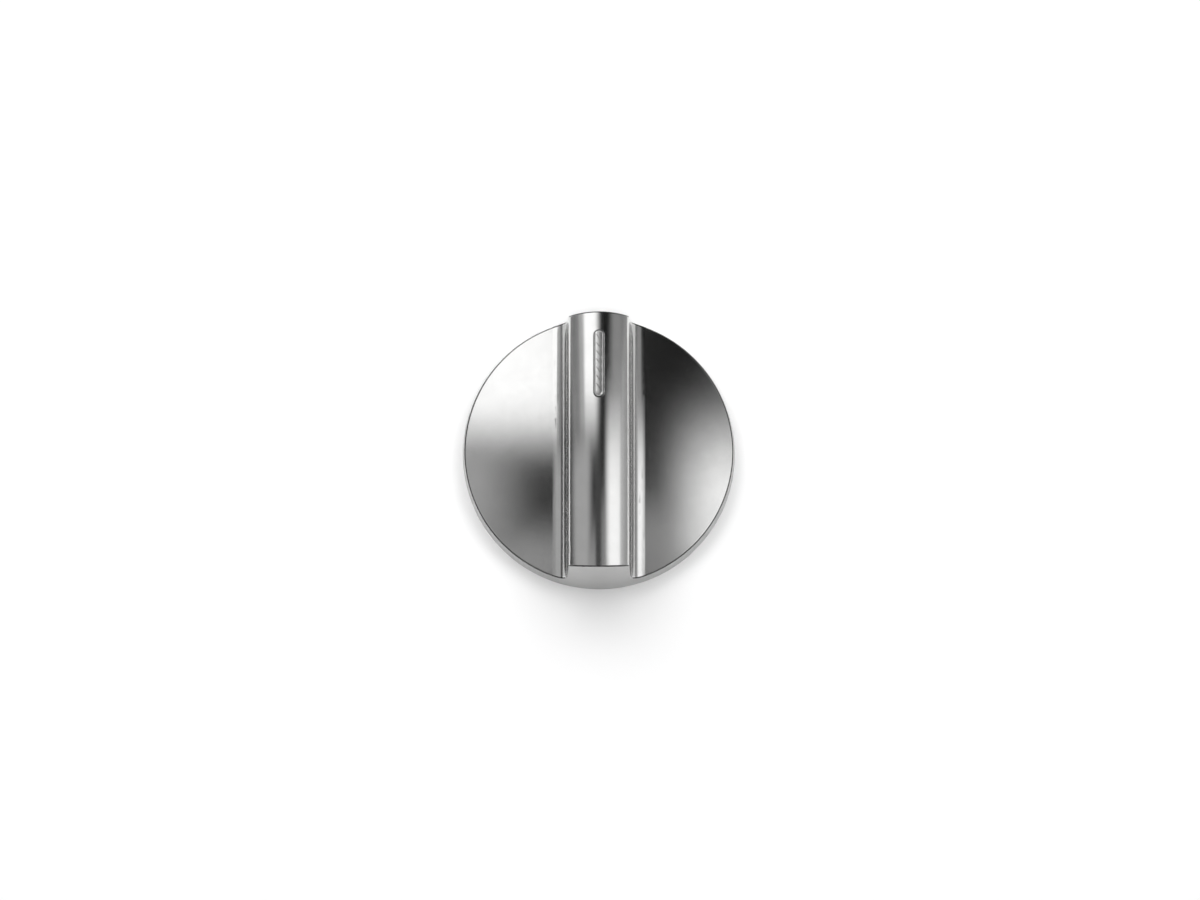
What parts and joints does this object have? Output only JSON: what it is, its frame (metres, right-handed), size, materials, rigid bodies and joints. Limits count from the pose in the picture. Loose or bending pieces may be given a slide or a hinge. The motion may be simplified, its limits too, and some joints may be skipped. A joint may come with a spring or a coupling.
{
  "type": "appliance control knob",
  "caption": "Round metal control knob with shallow domed wings, a tall grip bar across the middle, a small raised pointer at one end of the bar and a D shaft socket in the back.",
  "frame": {"origin": "centre of the skirt's lower edge, on the shaft's axis", "axes": "+Z along the shaft's axis out of the panel, +Y along the grip bar towards the pointer, +X to the right of it"},
  "size_m": [0.056, 0.056, 0.022],
  "materials": {
    "shell": "satin nickel plate with a fine grain, over a zinc die casting",
    "pointer": "satin nickel plate, hatched on top",
    "insert": "black glass-filled nylon",
    "spring": "bright spring steel",
    "screws": "clear zinc plate"
  },
  "bodies": {
    "root": {"knob_shell": "shell", "pointer_inlay": "pointer", "shaft_insert": "insert", "shaft_spring": "spring", "insert_screws": "screws"}
  },
  "joints": []
}
